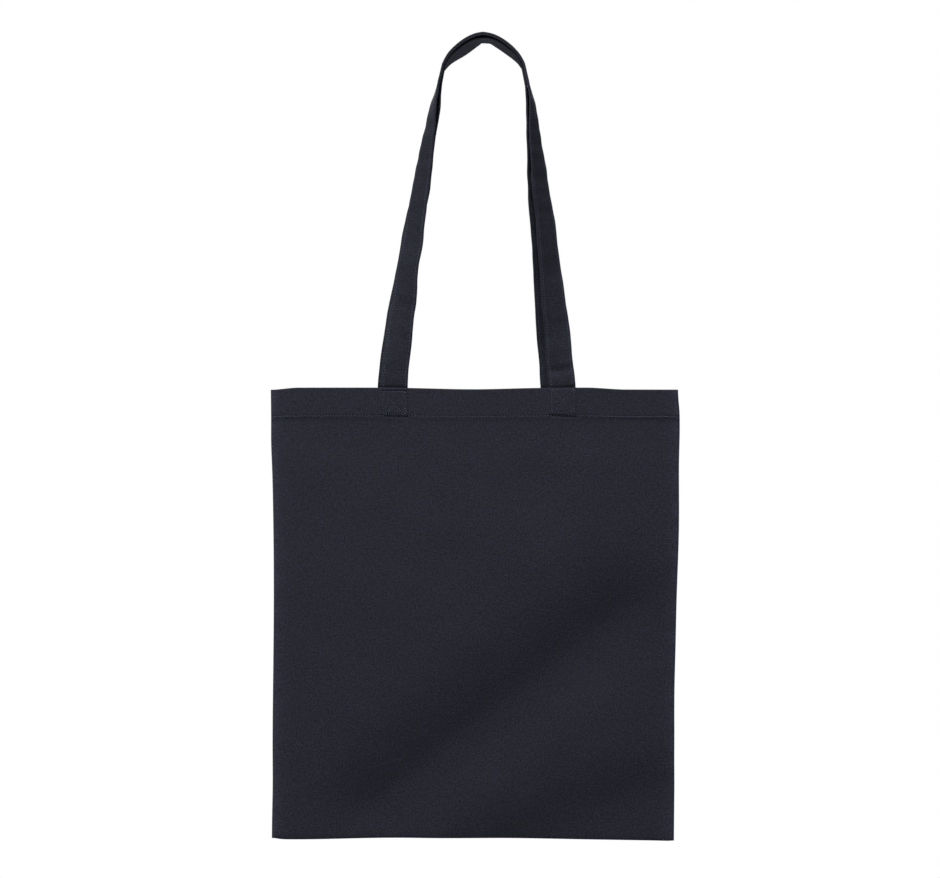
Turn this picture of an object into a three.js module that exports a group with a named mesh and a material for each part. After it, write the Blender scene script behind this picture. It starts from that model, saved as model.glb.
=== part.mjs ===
// Flat canvas tote bag with two long handles, hung by both handles from one point.
//
// Frame: +Z up, +X to the bag's right as seen from the front, the front faces -Y, millimetres.
// The origin is the point on the underside of the back handle's arch where a hook or peg carries the bag.
// The front handle's arch lies over the back handle's arch. Both straps are flat at the hem and make a
// quarter turn on the way up, so that at the arch their width runs front to back.

import * as THREE from 'three';

// ---- driving dimensions ----
const HANG_DROP = 327;            // hang point down to the bag's top edge
const BAG_HEIGHT = 420;
const BAG_WIDTH_TOP = 380;
const BAG_WIDTH_BOTTOM = 373.5;
const BAG_CENTRE_X = -7.5;        // the hook sits a little to the right of the bag's middle

const CLOTH = 0.8;                // thickness of one panel
const GAP = 0.3;                  // clearance between layers that lie on each other
const SEAM_HALF_DEPTH = 2.2;      // bag centre plane to the outer face along the seams
const MOUTH_HALF_DEPTH = 8;       // the same at the middle of the mouth
const FLAT_SHARE = 0.5;           // middle share of a panel's width that stays flat

const HEM_HEIGHT = 25;
const HEM_TURN = 1.0;             // turned-in layers of the hem
const SEAM_ALLOWANCE = 12;
const SEAM_LAYERS = 1.2;          // two raw edges lying on each other
const OVERLOCK_WIDTH = 4.5;
const OVERLOCK_THREAD = 0.4;
const OVERLOCK_AIR = 0.15;        // thread to the cloth edge that it wraps

const STRAP_WIDTH = 25;
const STRAP_THICKNESS = 1.8;
const SEWN_END = 23;              // strap end sewn to the inside of the hem
const ARCH_RADIUS_BACK = 34.3;    // middle of the back strap's thickness
const ARCH_SPACING = 3.2;         // back strap's middle to front strap's middle at the arch
const ARCH_OFFSET = 3;            // front arch this far forward of the centre plane, back arch behind it
const REST_FLAT_ANGLE = 10;       // half angle of the flat stretch that rests on the hook, degrees
const TWIST_START = 25;           // height above the hem where a strap begins to turn
const TWIST_END = 287;
const TWIST_MAX = 86;             // degrees, before the arch takes it to 90
const TWIST_WAVE = 0.07;          // makes the turn quicker near both ends
const TILT_SPAN = 60;             // degrees of arch over which a strap leans in and back again

const THREAD = 0.3;               // stitch line height above the cloth
const THREAD_WIDTH = 0.6;
const THREAD_AIR = 0.1;
const EDGE_STITCH_INSET = 2.5;    // strap edge to its stitch line
const BOX_STITCH = 20.6;          // side of the crossed square that holds a strap end
const BOX_STITCH_DROP = 12.6;     // top edge down to the square's middle

const HINGE_AIR = 0.3;            // between a strap's free part and its sewn end

// One handle: where each leg is sewn, how far it leans at the shoulder, how long it stays upright at the hem
// and straight below the shoulder, how much wider its side of the arch is than a circle, and how far the
// strap's rear edge leans in there, in degrees.
const HANDLES = {
  front: {
    side: -1,
    archRadius: ARCH_RADIUS_BACK + ARCH_SPACING,
    left: { baseX: -82.8, lean: 13.2, upright: 46, straight: 22, widen: 2.2, tilt: 0 },
    right: { baseX: 74.3, lean: 14, upright: 8, straight: 32, widen: 3.1, tilt: 0 },
  },
  back: {
    side: 1,
    archRadius: ARCH_RADIUS_BACK,
    left: { baseX: -86.4, lean: 11.9, upright: 18, straight: 160, widen: 3, tilt: 8.3 },
    right: { baseX: 66.7, lean: 14.5, upright: 4, straight: 34, widen: 4.1, tilt: 4.5 },
  },
};

// ---- worked out from them ----
const TOP_Z = -HANG_DROP;
const BOTTOM_Z = TOP_Z - BAG_HEIGHT;
const RAD = Math.PI / 180;
const ARCH_CENTRE_Z = -(ARCH_RADIUS_BACK - STRAP_THICKNESS / 2) * Math.cos(REST_FLAT_ANGLE * RAD);
const HEM_INSET = CLOTH + GAP;
const STRAP_INSET = HEM_INSET + HEM_TURN + GAP;
const STRAP_BASE_DEPTH = MOUTH_HALF_DEPTH - STRAP_INSET - STRAP_THICKNESS / 2;

const PANEL_ROWS = 10;
const CURVED_COLUMNS = 6;
const LEG_STATIONS = 16;
const ARCH_STEP = 10;             // degrees between arch stations

// ---- materials ----
const canvasColour = new THREE.Color(0.021, 0.022, 0.030);
const strapColour = new THREE.Color(0.024, 0.025, 0.033);
const seamColour = new THREE.Color(0.019, 0.020, 0.027);
const threadColour = new THREE.Color(0.045, 0.050, 0.066);

function cloth(colour, roughness = 0.95) {
  return new THREE.MeshStandardMaterial({ color: colour.clone(), roughness, metalness: 0 });
}

// ---- solids ----

// Signed volume of an indexed mesh: positive when its faces point outwards.
function signedVolume(points, faces) {
  let sum = 0;
  for (const [a, b, c] of faces) {
    sum += points[a].dot(points[b].clone().cross(points[c])) / 6;
  }
  return sum;
}

function solid(points, faces) {
  const turned = signedVolume(points, faces) < 0;
  const geometry = new THREE.BufferGeometry();
  geometry.setAttribute('position', new THREE.Float32BufferAttribute(points.flatMap((p) => p.toArray()), 3));
  geometry.setIndex(faces.flatMap(([a, b, c]) => (turned ? [a, c, b] : [a, b, c])));
  geometry.computeVertexNormals();
  return geometry;
}

// Closed solid through a list of rings that have the same number of points, with flat ends.
function loft(rings) {
  const count = rings[0].length;
  const points = rings.flat();
  const faces = [];
  for (let i = 0; i + 1 < rings.length; i += 1) {
    for (let j = 0; j < count; j += 1) {
      const k = (j + 1) % count;
      const near = i * count;
      const far = near + count;
      faces.push([near + j, near + k, far + k], [near + j, far + k, far + j]);
    }
  }
  const last = (rings.length - 1) * count;
  for (const [a, b, c] of THREE.ShapeUtils.triangulateShape(flatten(rings[0]), [])) {
    faces.push([a, c, b]);
  }
  for (const [a, b, c] of THREE.ShapeUtils.triangulateShape(flatten(rings.at(-1)), [])) {
    faces.push([last + a, last + b, last + c]);
  }
  return solid(points, faces);
}

// A ring's points in its own plane, counter-clockwise.
function flatten(ring) {
  const u = ring[1].clone().sub(ring[0]).normalize();
  const n = new THREE.Vector3();
  ring.forEach((p, i) => n.add(p.clone().cross(ring[(i + 1) % ring.length])));
  const v = n.normalize().cross(u);
  return ring.map((p) => new THREE.Vector2(p.dot(u), p.dot(v)));
}

// Closed solid between two surfaces sampled on the same grid, given as rows of points.
function slab(outer, inner) {
  const rows = outer.length;
  const columns = outer[0].length;
  const points = [...outer.flat(), ...inner.flat()];
  const offset = rows * columns;
  const at = (i, j) => i * columns + j;
  const faces = [];
  const quad = (a, b, c, d) => faces.push([a, b, c], [a, c, d]);
  for (let i = 0; i + 1 < rows; i += 1) {
    for (let j = 0; j + 1 < columns; j += 1) {
      quad(at(i, j), at(i, j + 1), at(i + 1, j + 1), at(i + 1, j));
      quad(offset + at(i, j), offset + at(i + 1, j), offset + at(i + 1, j + 1), offset + at(i, j + 1));
    }
  }
  for (let j = 0; j + 1 < columns; j += 1) {
    quad(at(0, j + 1), at(0, j), offset + at(0, j), offset + at(0, j + 1));
    quad(at(rows - 1, j), at(rows - 1, j + 1), offset + at(rows - 1, j + 1), offset + at(rows - 1, j));
  }
  for (let i = 0; i + 1 < rows; i += 1) {
    const first = at(i, 0);
    const last = at(i, columns - 1);
    quad(first, first + columns, offset + first + columns, offset + first);
    quad(last + columns, last, offset + last, offset + last + columns);
  }
  return solid(points, faces);
}

// ---- the bag's form ----

const heightShare = (z) => (z - BOTTOM_Z) / BAG_HEIGHT;

function halfWidth(z) {
  return THREE.MathUtils.lerp(BAG_WIDTH_BOTTOM, BAG_WIDTH_TOP, heightShare(z)) / 2;
}

// Outer face of a panel, measured from the centre plane: flat in the middle, falling to the side seams.
function outerDepth(u, z) {
  const beyond = Math.max(0, (Math.abs(u) - FLAT_SHARE) / (1 - FLAT_SHARE));
  const crown = Math.cos(beyond * Math.PI / 2) ** 2;
  return SEAM_HALF_DEPTH + (MOUTH_HALF_DEPTH - SEAM_HALF_DEPTH) * heightShare(z) * crown;
}

function faceDepth(x, z) {
  return outerDepth((x - BAG_CENTRE_X) / halfWidth(z), z);
}

// Positions across a panel: fine where it curves, one flat stretch in the middle.
function columnShares(limit) {
  const side = [];
  for (let i = 0; i <= CURVED_COLUMNS; i += 1) {
    side.push(FLAT_SHARE + (limit - FLAT_SHARE) * i / CURVED_COLUMNS);
  }
  return [...side.map((u) => -u).reverse(), ...side];
}

// A layer of cloth that lies inside the outer face by `inset`, over the heights from lowZ to highZ.
function clothLayer({ side, lowZ, highZ, inset, thickness, limit = 1, rows = 1 }) {
  const grid = (depthInset) => {
    const result = [];
    for (let i = 0; i <= rows; i += 1) {
      const z = THREE.MathUtils.lerp(lowZ, highZ, i / rows);
      const row = columnShares(limit).map((u) => {
        const x = BAG_CENTRE_X + u * halfWidth(z);
        return new THREE.Vector3(x, side * (outerDepth(u, z) - depthInset), z);
      });
      result.push(row);
    }
    return result;
  };
  return slab(grid(inset), grid(inset + thickness));
}

function panel(side) {
  return clothLayer({ side, lowZ: BOTTOM_Z, highZ: TOP_Z, inset: 0, thickness: CLOTH, rows: PANEL_ROWS });
}

// The hem's turned-in layers stop short of the side seam's overlocked edge.
const HEM_LIMIT = 1 - (SEAM_ALLOWANCE + OVERLOCK_AIR + OVERLOCK_THREAD + GAP) / (BAG_WIDTH_TOP / 2);

function hem(side) {
  return clothLayer({
    side,
    lowZ: TOP_Z - HEM_HEIGHT,
    highZ: TOP_Z,
    inset: HEM_INSET,
    thickness: HEM_TURN,
    limit: HEM_LIMIT,
  });
}

function hemStitching(side) {
  const z = TOP_Z - HEM_HEIGHT + THREAD_WIDTH;
  return clothLayer({
    side,
    lowZ: z - THREAD_WIDTH / 2,
    highZ: z + THREAD_WIDTH / 2,
    inset: -THREAD_AIR - THREAD,
    thickness: THREAD,
  });
}

// Box-and-cross stitching: a square ring with both diagonals, lying on the hem's outer face.
function boxStitching(side, centreX) {
  const half = BOX_STITCH / 2;
  const clear = half - THREAD_WIDTH;
  const gap = THREAD_WIDTH * Math.SQRT1_2;
  const outline = [[-half, -half], [half, -half], [half, half], [-half, half]];
  const shape = new THREE.Shape(outline.map(([x, y]) => new THREE.Vector2(x, y)));
  const triangle = [[gap, 0], [clear, clear - gap], [clear, gap - clear]];
  const middle = new THREE.Vector2();
  for (let quarter = 0; quarter < 4; quarter += 1) {
    const angle = quarter * Math.PI / 2;
    const corners = triangle.map(([x, y]) => new THREE.Vector2(x, y).rotateAround(middle, angle));
    shape.holes.push(new THREE.Path(corners));
  }
  const geometry = new THREE.ExtrudeGeometry(shape, { depth: THREAD, bevelEnabled: false });
  const place = geometry.attributes.position;
  const centreZ = TOP_Z - BOX_STITCH_DROP;
  for (let i = 0; i < place.count; i += 1) {
    const x = centreX - side * place.getX(i);
    const z = centreZ + place.getY(i);
    const lift = THREAD_AIR + place.getZ(i);
    place.setXYZ(i, x, side * (faceDepth(x, z) + lift), z);
  }
  geometry.computeVertexNormals();
  return geometry;
}

function box(lowX, highX, lowY, highY, lowZ, highZ) {
  const geometry = new THREE.BoxGeometry(highX - lowX, highY - lowY, highZ - lowZ);
  geometry.translate((lowX + highX) / 2, (lowY + highY) / 2, (lowZ + highZ) / 2);
  return geometry;
}

// Level ring with corners at the given sides.
function rectangle(x0, x1, y0, y1, z) {
  return [[x0, y0], [x1, y0], [x1, y1], [x0, y1]].map(([x, y]) => new THREE.Vector3(x, y, z));
}

// Strap end on the inside of the hem, upright, following the panel's slope.
function sewnEnd(side, centreX) {
  const ring = (z) => {
    const near = side * (faceDepth(centreX, z) - STRAP_INSET);
    const far = near - side * STRAP_THICKNESS;
    return rectangle(centreX - STRAP_WIDTH / 2, centreX + STRAP_WIDTH / 2, near, far, z);
  };
  return loft([ring(TOP_Z - SEWN_END), ring(TOP_Z)]);
}

// ---- seams inside the bag ----

// Two raw edges that point into the bag from a side seam, edge flush with the bag's side.
function sideSeam(sign) {
  const ring = (z) => {
    const outer = BAG_CENTRE_X + sign * halfWidth(z);
    const inner = outer - sign * SEAM_ALLOWANCE;
    return rectangle(outer, inner, -SEAM_LAYERS / 2, SEAM_LAYERS / 2, z);
  };
  return loft([ring(BOTTOM_Z + SEAM_ALLOWANCE + GAP), ring(TOP_Z)]);
}

function bottomSeam() {
  const half = BAG_WIDTH_BOTTOM / 2;
  const depth = SEAM_LAYERS / 2;
  return box(BAG_CENTRE_X - half, BAG_CENTRE_X + half, -depth, depth, BOTTOM_Z, BOTTOM_Z + SEAM_ALLOWANCE);
}

// C-shaped section of overlock thread round a raw edge: x runs from the edge into the seam.
function overlockSection() {
  const inside = SEAM_LAYERS / 2 + OVERLOCK_AIR;
  const outside = inside + OVERLOCK_THREAD;
  const back = -OVERLOCK_AIR;
  const lip = OVERLOCK_WIDTH;
  return [
    [back - OVERLOCK_THREAD, -outside], [lip, -outside], [lip, -inside], [back, -inside],
    [back, inside], [lip, inside], [lip, outside], [back - OVERLOCK_THREAD, outside],
  ];
}

function sideOverlock(sign) {
  const ring = (z) => {
    const edge = BAG_CENTRE_X + sign * (halfWidth(z) - SEAM_ALLOWANCE);
    return overlockSection().map(([x, y]) => new THREE.Vector3(edge + sign * x, y, z));
  };
  return loft([ring(BOTTOM_Z + SEAM_ALLOWANCE + OVERLOCK_WIDTH), ring(TOP_Z)]);
}

function bottomOverlock() {
  const edge = BOTTOM_Z + SEAM_ALLOWANCE;
  const reach = BAG_WIDTH_BOTTOM / 2 - SEAM_ALLOWANCE - OVERLOCK_WIDTH;
  const ring = (x) => overlockSection().map(([z, y]) => new THREE.Vector3(x, y, edge - z));
  return loft([ring(BAG_CENTRE_X - reach), ring(BAG_CENTRE_X + reach)]);
}

// ---- handles ----

function twistAt(z) {
  const share = THREE.MathUtils.clamp((z - TOP_Z - TWIST_START) / (TWIST_END - TWIST_START), 0, 1);
  return TWIST_MAX * (share + TWIST_WAVE * Math.sin(2 * Math.PI * share));
}

// Arch radius on one leg's side, `angle` degrees from the top: a circle that widens towards the shoulder.
function archRadius(handle, leg, angle) {
  const share = THREE.MathUtils.clamp((Math.abs(angle) - REST_FLAT_ANGLE) / (90 - REST_FLAT_ANGLE), 0, 1);
  return handle.archRadius + leg.widen * Math.sin(share * Math.PI / 2) ** 2;
}

// Stations of one leg from the hem to the shoulder. `sign` is -1 for the left leg and 1 for the right.
function legStations(handle, leg, sign) {
  const lean = leg.lean * RAD;
  const radius = archRadius(handle, leg, 90 - leg.lean);
  const shoulder = new THREE.Vector2(sign * radius * Math.cos(lean), ARCH_CENTRE_Z + radius * Math.sin(lean));
  const down = new THREE.Vector2(sign * Math.sin(lean), -Math.cos(lean));
  const base = new THREE.Vector2(leg.baseX, TOP_Z + HINGE_AIR);
  const curve = new THREE.CubicBezierCurve(
    base,
    base.clone().add(new THREE.Vector2(0, leg.upright)),
    shoulder.clone().addScaledVector(down, leg.straight),
    shoulder,
  );
  const stations = [];
  for (let i = 0; i <= LEG_STATIONS; i += 1) {
    const t = i / LEG_STATIONS;
    const point = curve.getPoint(t);
    const up = i === 0 ? new THREE.Vector2(0, 1) : curve.getTangent(t);
    const depth = THREE.MathUtils.lerp(STRAP_BASE_DEPTH, ARCH_OFFSET, (1 - Math.cos(Math.PI * t)) / 2);
    stations.push({
      centre: new THREE.Vector3(point.x, handle.side * depth, point.y),
      outward: new THREE.Vector3(sign * up.y, 0, -sign * up.x),
      twist: twistAt(point.y),
    });
  }
  return stations;
}

// Stations over the top, from just past the left shoulder to just before the right one.
function archStations(handle) {
  const first = -90 + handle.left.lean;
  const last = 90 - handle.right.lean;
  const angles = [];
  for (let a = ARCH_STEP - 90; a < 90; a += ARCH_STEP) {
    if (a !== 0 && a > first + 2 && a < last - 2) angles.push(a);
  }
  return angles.map((angle) => {
    const leg = angle < 0 ? handle.left : handle.right;
    const share = THREE.MathUtils.clamp((Math.abs(angle) - REST_FLAT_ANGLE) / TILT_SPAN, 0, 1);
    const tilt = leg.tilt * Math.sin(share * Math.PI);
    const sink = Math.sin(tilt * RAD) * STRAP_WIDTH / 2;
    const outward = new THREE.Vector3(Math.sin(angle * RAD), 0, Math.cos(angle * RAD));
    const centre = outward.clone().multiplyScalar(archRadius(handle, leg, angle) - sink);
    centre.y = handle.side * ARCH_OFFSET;
    centre.z += ARCH_CENTRE_Z;
    return { centre, outward, twist: 90 + tilt };
  });
}

// A bar that runs along a handle. `across` lists positions over the strap's width, from the legs' inner
// edge outwards, and the lifts are measured through its thickness, towards its outer face.
function alongHandle(handle, across, liftLow, liftHigh) {
  const stations = [
    ...legStations(handle, handle.left, -1),
    ...archStations(handle),
    ...legStations(handle, handle.right, 1).reverse(),
  ];
  const corners = [
    ...across.map((a) => [a, liftLow]),
    ...across.map((a) => [a, liftHigh]).reverse(),
  ];
  return loft(stations.map(({ centre, outward, twist }) => {
    const cos = Math.cos(twist * RAD);
    const sin = Math.sin(twist * RAD);
    const width = outward.clone().multiplyScalar(cos).add(new THREE.Vector3(0, sin, 0));
    const face = outward.clone().multiplyScalar(sin).add(new THREE.Vector3(0, -cos, 0));
    return corners.map(([a, l]) => centre.clone().addScaledVector(width, a).addScaledVector(face, l));
  }));
}

// Both sides of one edge's stitch line: edge is -1 for the inner edge of the legs and 1 for the outer edge.
function stitchLineSides(edge) {
  const middle = edge * (STRAP_WIDTH / 2 - EDGE_STITCH_INSET);
  return [middle - THREAD_WIDTH / 2, middle + THREAD_WIDTH / 2];
}

// The strap has corners under its stitch lines too, so that its turning faces stay under the thread.
function strap(handle) {
  const half = STRAP_WIDTH / 2;
  const across = [-half, ...stitchLineSides(-1), 0, ...stitchLineSides(1), half];
  return alongHandle(handle, across, -STRAP_THICKNESS / 2, STRAP_THICKNESS / 2);
}

function strapStitching(handle, edge) {
  const low = STRAP_THICKNESS / 2 + THREAD_AIR;
  return alongHandle(handle, stitchLineSides(edge), low, low + THREAD);
}

// ---- assembly ----

const totebag = new THREE.Group();

function add(name, geometry, material) {
  const mesh = new THREE.Mesh(geometry, material);
  mesh.name = name;
  totebag.add(mesh);
}

for (const [name, handle] of Object.entries(HANDLES)) {
  add(`${name}_panel`, panel(handle.side), cloth(canvasColour));
  add(`${name}_hem`, hem(handle.side), cloth(canvasColour));
  add(`${name}_hem_stitching`, hemStitching(handle.side), cloth(threadColour));
  add(`${name}_handle`, strap(handle), cloth(strapColour));
  add(`${name}_handle_inner_stitching`, strapStitching(handle, -1), cloth(threadColour));
  add(`${name}_handle_outer_stitching`, strapStitching(handle, 1), cloth(threadColour));
  for (const leg of ['left', 'right']) {
    const { baseX } = handle[leg];
    add(`${name}_handle_${leg}_end`, sewnEnd(handle.side, baseX), cloth(strapColour));
    add(`${name}_${leg}_box_stitching`, boxStitching(handle.side, baseX), cloth(threadColour));
  }
}

for (const [name, sign] of [['left', -1], ['right', 1]]) {
  add(`${name}_side_seam`, sideSeam(sign), cloth(seamColour));
  add(`${name}_side_overlock`, sideOverlock(sign), cloth(threadColour));
}
add('bottom_seam', bottomSeam(), cloth(seamColour));
add('bottom_overlock', bottomOverlock(), cloth(threadColour));

export default totebag;
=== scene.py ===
"""Looks of the canvas tote bag: two cloth panels, two folded straps, their stitches and the seams inside.

Everything is in metres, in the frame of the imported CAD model: +Z up, the front faces -Y, and the origin is
the hang point under the arch of the back handle.
"""

import math

import bpy
import numpy as np
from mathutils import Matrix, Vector


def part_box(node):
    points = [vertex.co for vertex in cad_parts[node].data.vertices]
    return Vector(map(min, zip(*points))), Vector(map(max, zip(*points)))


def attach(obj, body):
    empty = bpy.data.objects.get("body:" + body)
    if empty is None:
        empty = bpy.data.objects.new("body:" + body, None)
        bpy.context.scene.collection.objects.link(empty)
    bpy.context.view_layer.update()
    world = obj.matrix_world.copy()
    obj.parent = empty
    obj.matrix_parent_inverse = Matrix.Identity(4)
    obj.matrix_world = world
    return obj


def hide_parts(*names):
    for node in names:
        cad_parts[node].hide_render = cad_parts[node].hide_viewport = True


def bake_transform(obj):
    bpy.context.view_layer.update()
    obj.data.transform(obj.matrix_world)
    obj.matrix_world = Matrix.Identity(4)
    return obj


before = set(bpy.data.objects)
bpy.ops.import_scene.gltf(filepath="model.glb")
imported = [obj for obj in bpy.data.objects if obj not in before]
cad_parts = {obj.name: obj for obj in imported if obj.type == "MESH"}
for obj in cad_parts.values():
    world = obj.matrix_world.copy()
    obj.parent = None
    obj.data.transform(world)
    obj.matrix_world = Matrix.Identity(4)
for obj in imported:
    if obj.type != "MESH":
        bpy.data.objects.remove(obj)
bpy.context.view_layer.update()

# ---- places and sizes from the frame ----
panel_low, panel_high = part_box("front_panel")
bottom_seam_low, bottom_seam_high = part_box("bottom_seam")
TOP = panel_high.z
BOTTOM = panel_low.z
HEIGHT = TOP - BOTTOM
CENTRE_X = (panel_low.x + panel_high.x) / 2
HALF_TOP = (panel_high.x - panel_low.x) / 2
HALF_BOTTOM = (bottom_seam_high.x - bottom_seam_low.x) / 2
MOUTH_DEPTH = -panel_low.y
SEAM_DEPTH = 0.0022            # half the bag's thickness at its seams

# ---- cloth ----
CLOTH = 0.0005                 # thickness of one layer
FLAT_SHARE = 0.5               # middle share of the width that stays flat, as in the CAD panels
FOLD_SLOPE = 0.27              # steepest slope of the soft folds across the lower part
FORWARD_LEAN = 0.033           # slope with which the whole bag swings forward below the hem
HEM_HEIGHT = 0.0255            # top edge down to the end of the turned-in layers
HEM_STITCH_DROP = 0.0255       # top edge down to the hem's stitch line
HEM_THICKNESS = 0.0021         # all layers of the hem together
HEM_THICKNESS_AT_SEAMS = 0.0013
TOP_EDGE_REACH = 0.018         # depth over which the top edge's unevenness dies away
HEM_RISE = 0.0004              # how far the layers behind push the hem's face out
STRAP_BULGE = 0.0007           # the same over a sewn strap end
STITCH_PITCH = 0.0027          # from one needle hole to the next
STITCH_SHARE = 0.52            # part of each stitch that shows above the cloth
STITCH_HOLE = 0.0008           # how deep the cloth is drawn in at each needle hole
THREAD_RADIUS = 0.00030
STRAP_THREAD_RADIUS = 0.00021
SEAM_ROUND = 0.0022            # radius of the folded edge along the seams
SEAM_WIDTH = 0.0115            # raw edge of the seam allowance from the bag's edge
SEAM_LAYER = 0.00045
OVERLOCK_REACH = 0.0043        # raw edge to the overlock's needle line
OVERLOCK_PITCH = 0.0024
OVERLOCK_RADIUS = 0.00016
FINE_COLUMNS = 720             # across the hem; halved twice further down

# ---- handles, close to the line of the CAD handles ----
STRAP_HALF_WIDTH = 0.0125
STRAP_HALF_THICKNESS = 0.0011  # thicker than the CAD strap, which closes gaps between the two straps
CAD_STRAP_HALF_THICKNESS = 0.0009
STRAP_EDGE_STITCH = 0.0025     # strap edge to its stitch line
SEWN_END = 0.023               # strap end below the top edge
BOX_STITCH = 0.0206
BOX_DROP = {"left": 0.0137, "right": 0.0117}    # top edge down to the middle of each crossed square
STRAP_BACK_DEPTH = 0.0039      # panel's outer face to the inside face of a sewn strap end
ARCH_RADIUS_BACK = 0.0343
ARCH_SPACING = 0.0032
ARCH_OFFSET = 0.003
REST_FLAT_ANGLE = math.radians(10)
TWIST_START = 0.025            # a leg turns edge-on between these heights above the top edge
TWIST_END = 0.287
TWIST_MAX = math.radians(88)
TWIST_WAVE = 0.07              # how unevenly it turns
TILT_END = math.radians(84)    # place on the arch, from its top, where its sideways tilt ends
TILT_SKEW = 0.72
SAG_SPAN = math.radians(90)
BACK_PATTERN_SHIFT = 0.06      # a strap's back face lies this far beside its front face in the weave map
TUCK = {-1: 0.0, 1: 0.0007}    # the back strap lies closer under the front one at the shoulders
STRAP_STEP = 0.0009            # between two stations along a strap

# ---- stage ----
HOOK_HEIGHT = 1.9              # hang point above the floor
FLOOR_HALF_SIZE = 1.5
CAMERA_DISTANCE = 2.0          # from the front of the mouth
VIEW_WIDTH = 0.8773            # width of the view at the front of the mouth
VIEW_CENTRE_X = -0.0121
VIEW_CENTRE_Z = -0.3737


def node_centre_x(node):
    low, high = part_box(node)
    return (low.x + high.x) / 2


# Beyond the CAD line: a leg bows sideways below the shoulder, and the arch sags between top and shoulder.
HANDLES = {
    "front": {
        "side": -1,
        "radius": ARCH_RADIUS_BACK + ARCH_SPACING,
        "left": {"lean": 13.2, "upright": 0.046, "straight": 0.022, "widen": 0.0022, "tilt": 3, "tilt_from": 4,
                 "bow": 0.0015, "sag": 0.0025},
        "right": {"lean": 14, "upright": 0.008, "straight": 0.032, "widen": 0.0031, "tilt": 3, "tilt_from": 13,
                  "bow": 0.0018, "sag": 0.0019},
    },
    "back": {
        "side": 1,
        "radius": ARCH_RADIUS_BACK,
        "left": {"lean": 11.9, "upright": 0.018, "straight": 0.160, "widen": 0.003, "tilt": 12.5, "tilt_from": 3,
                 "bow": -0.0006, "sag": 0.0016},
        "right": {"lean": 14.5, "upright": 0.004, "straight": 0.034, "widen": 0.0041, "tilt": 4.5, "tilt_from": 14,
                  "bow": 0.0016, "sag": 0.0010},
    },
}
for name, handle in HANDLES.items():
    for leg in ("left", "right"):
        handle[leg]["x"] = node_centre_x(f"{name}_handle_{leg}_end")
ARCH_CENTRE_Z = -(ARCH_RADIUS_BACK - CAD_STRAP_HALF_THICKNESS) * math.cos(REST_FLAT_ANGLE)


# ---- small helpers ----

def smooth(t):
    t = np.clip(t, 0, 1)
    return t * t * (3 - 2 * t)


def bell(t):
    return np.exp(-t * t)


def waves(x, z, seed, wavelength, count=14):
    """Smooth random relief of unit strength: plane waves in many directions, near one wavelength."""
    rng = np.random.default_rng(seed)
    total = np.zeros(np.broadcast(x, z).shape)
    for _ in range(count):
        angle = rng.uniform(0, 2 * math.pi)
        k = 2 * math.pi / (wavelength * rng.uniform(0.75, 1.5))
        phase = rng.uniform(0, 2 * math.pi)
        total += np.cos(k * (x * math.cos(angle) + z * math.sin(angle)) + phase)
    return total * math.sqrt(2 / count)


def mesh_object(name, points, faces, material, uv=None):
    mesh = bpy.data.meshes.new(name)
    mesh.from_pydata(np.asarray(points, float).tolist(), [], faces)
    mesh.update()
    mesh.shade_smooth()
    if uv is not None:
        layer = mesh.uv_layers.new(name="weave")
        loops = np.zeros(len(mesh.loops), np.int32)
        mesh.loops.foreach_get("vertex_index", loops)
        layer.data.foreach_set("uv", np.asarray(uv, np.float32)[loops].ravel())
    mesh.materials.append(material)
    piece = bpy.data.objects.new(name, mesh)
    bpy.context.scene.collection.objects.link(piece)
    return piece


def face_outwards(piece):
    """Turns the faces of a closed mesh outwards."""
    mesh = piece.data
    volume = 0.0
    for polygon in mesh.polygons:
        volume += Vector(polygon.center).dot(polygon.normal) * polygon.area
    if volume < 0:
        mesh.flip_normals()
    return piece


# ---- the bag's form ----

def half_width(s):
    return HALF_TOP + (HALF_BOTTOM - HALF_TOP) * s / HEIGHT


def base_depth(u, s):
    """Outer face of a panel from the middle plane, as in the CAD model. s runs down from the top edge."""
    beyond = np.clip((np.abs(u) - FLAT_SHARE) / (1 - FLAT_SHARE), 0, 1)
    crown = np.cos(beyond * math.pi / 2) ** 2
    return SEAM_DEPTH + (MOUTH_DEPTH - SEAM_DEPTH) * (1 - s / HEIGHT) * crown


def full_depth(u, s):
    """The cloth's own depth: as base_depth, but rounder towards the side seams."""
    beyond = np.clip((np.abs(u) - FLAT_SHARE) / (1 - FLAT_SHARE), 0, 1)
    return SEAM_DEPTH + (MOUTH_DEPTH - SEAM_DEPTH) * (1 - s / HEIGHT) * np.cos(beyond * math.pi / 2)


def side_edge(sign, s):
    """How far a side edge stands out past the straight seam line."""
    t = s / HEIGHT
    if sign < 0:
        hollow = np.sin(math.pi * np.clip(t / 0.8, 0, 1)) ** 1.5
        edge = 0.0013 - 0.0019 * hollow + 0.0006 * bell((t - 0.12) / 0.05)
        return edge + 0.0010 * smooth((t - 0.86) / 0.14)
    edge = 0.0003 + 0.0012 * smooth(t / 0.06)
    edge = edge + 0.0008 * bell((t - 0.09) / 0.06) + 0.0012 * bell((t - 0.30) / 0.12)
    edge = edge - 0.0006 * bell((t - 0.68) / 0.10) + 0.0006 * smooth((t - 0.8) / 0.1)
    return edge - 0.0012 * smooth(t / 0.5) - 0.0003 * smooth((t - 0.55) / 0.3)


def top_edge(x):
    """Height of the top edge over its straight line."""
    droop = 0.0016 * bell((x + 0.010) / 0.050) + 0.0018 * smooth((x - 0.095) / 0.04)
    return 0.0014 - droop - 0.0020 * smooth((-0.172 - x) / 0.028)


def bottom_edge(u):
    """Height of the bottom edge over its straight line: the right corner hangs a little lower."""
    corner = 0.0012 * bell((u + 1) / 0.035) + 0.0005 * bell((u - 1) / 0.02)
    return corner - 0.0012 - 0.0024 * u - 0.0005 * u * u - 0.0010 * smooth((u + 0.1) / 0.7)


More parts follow.
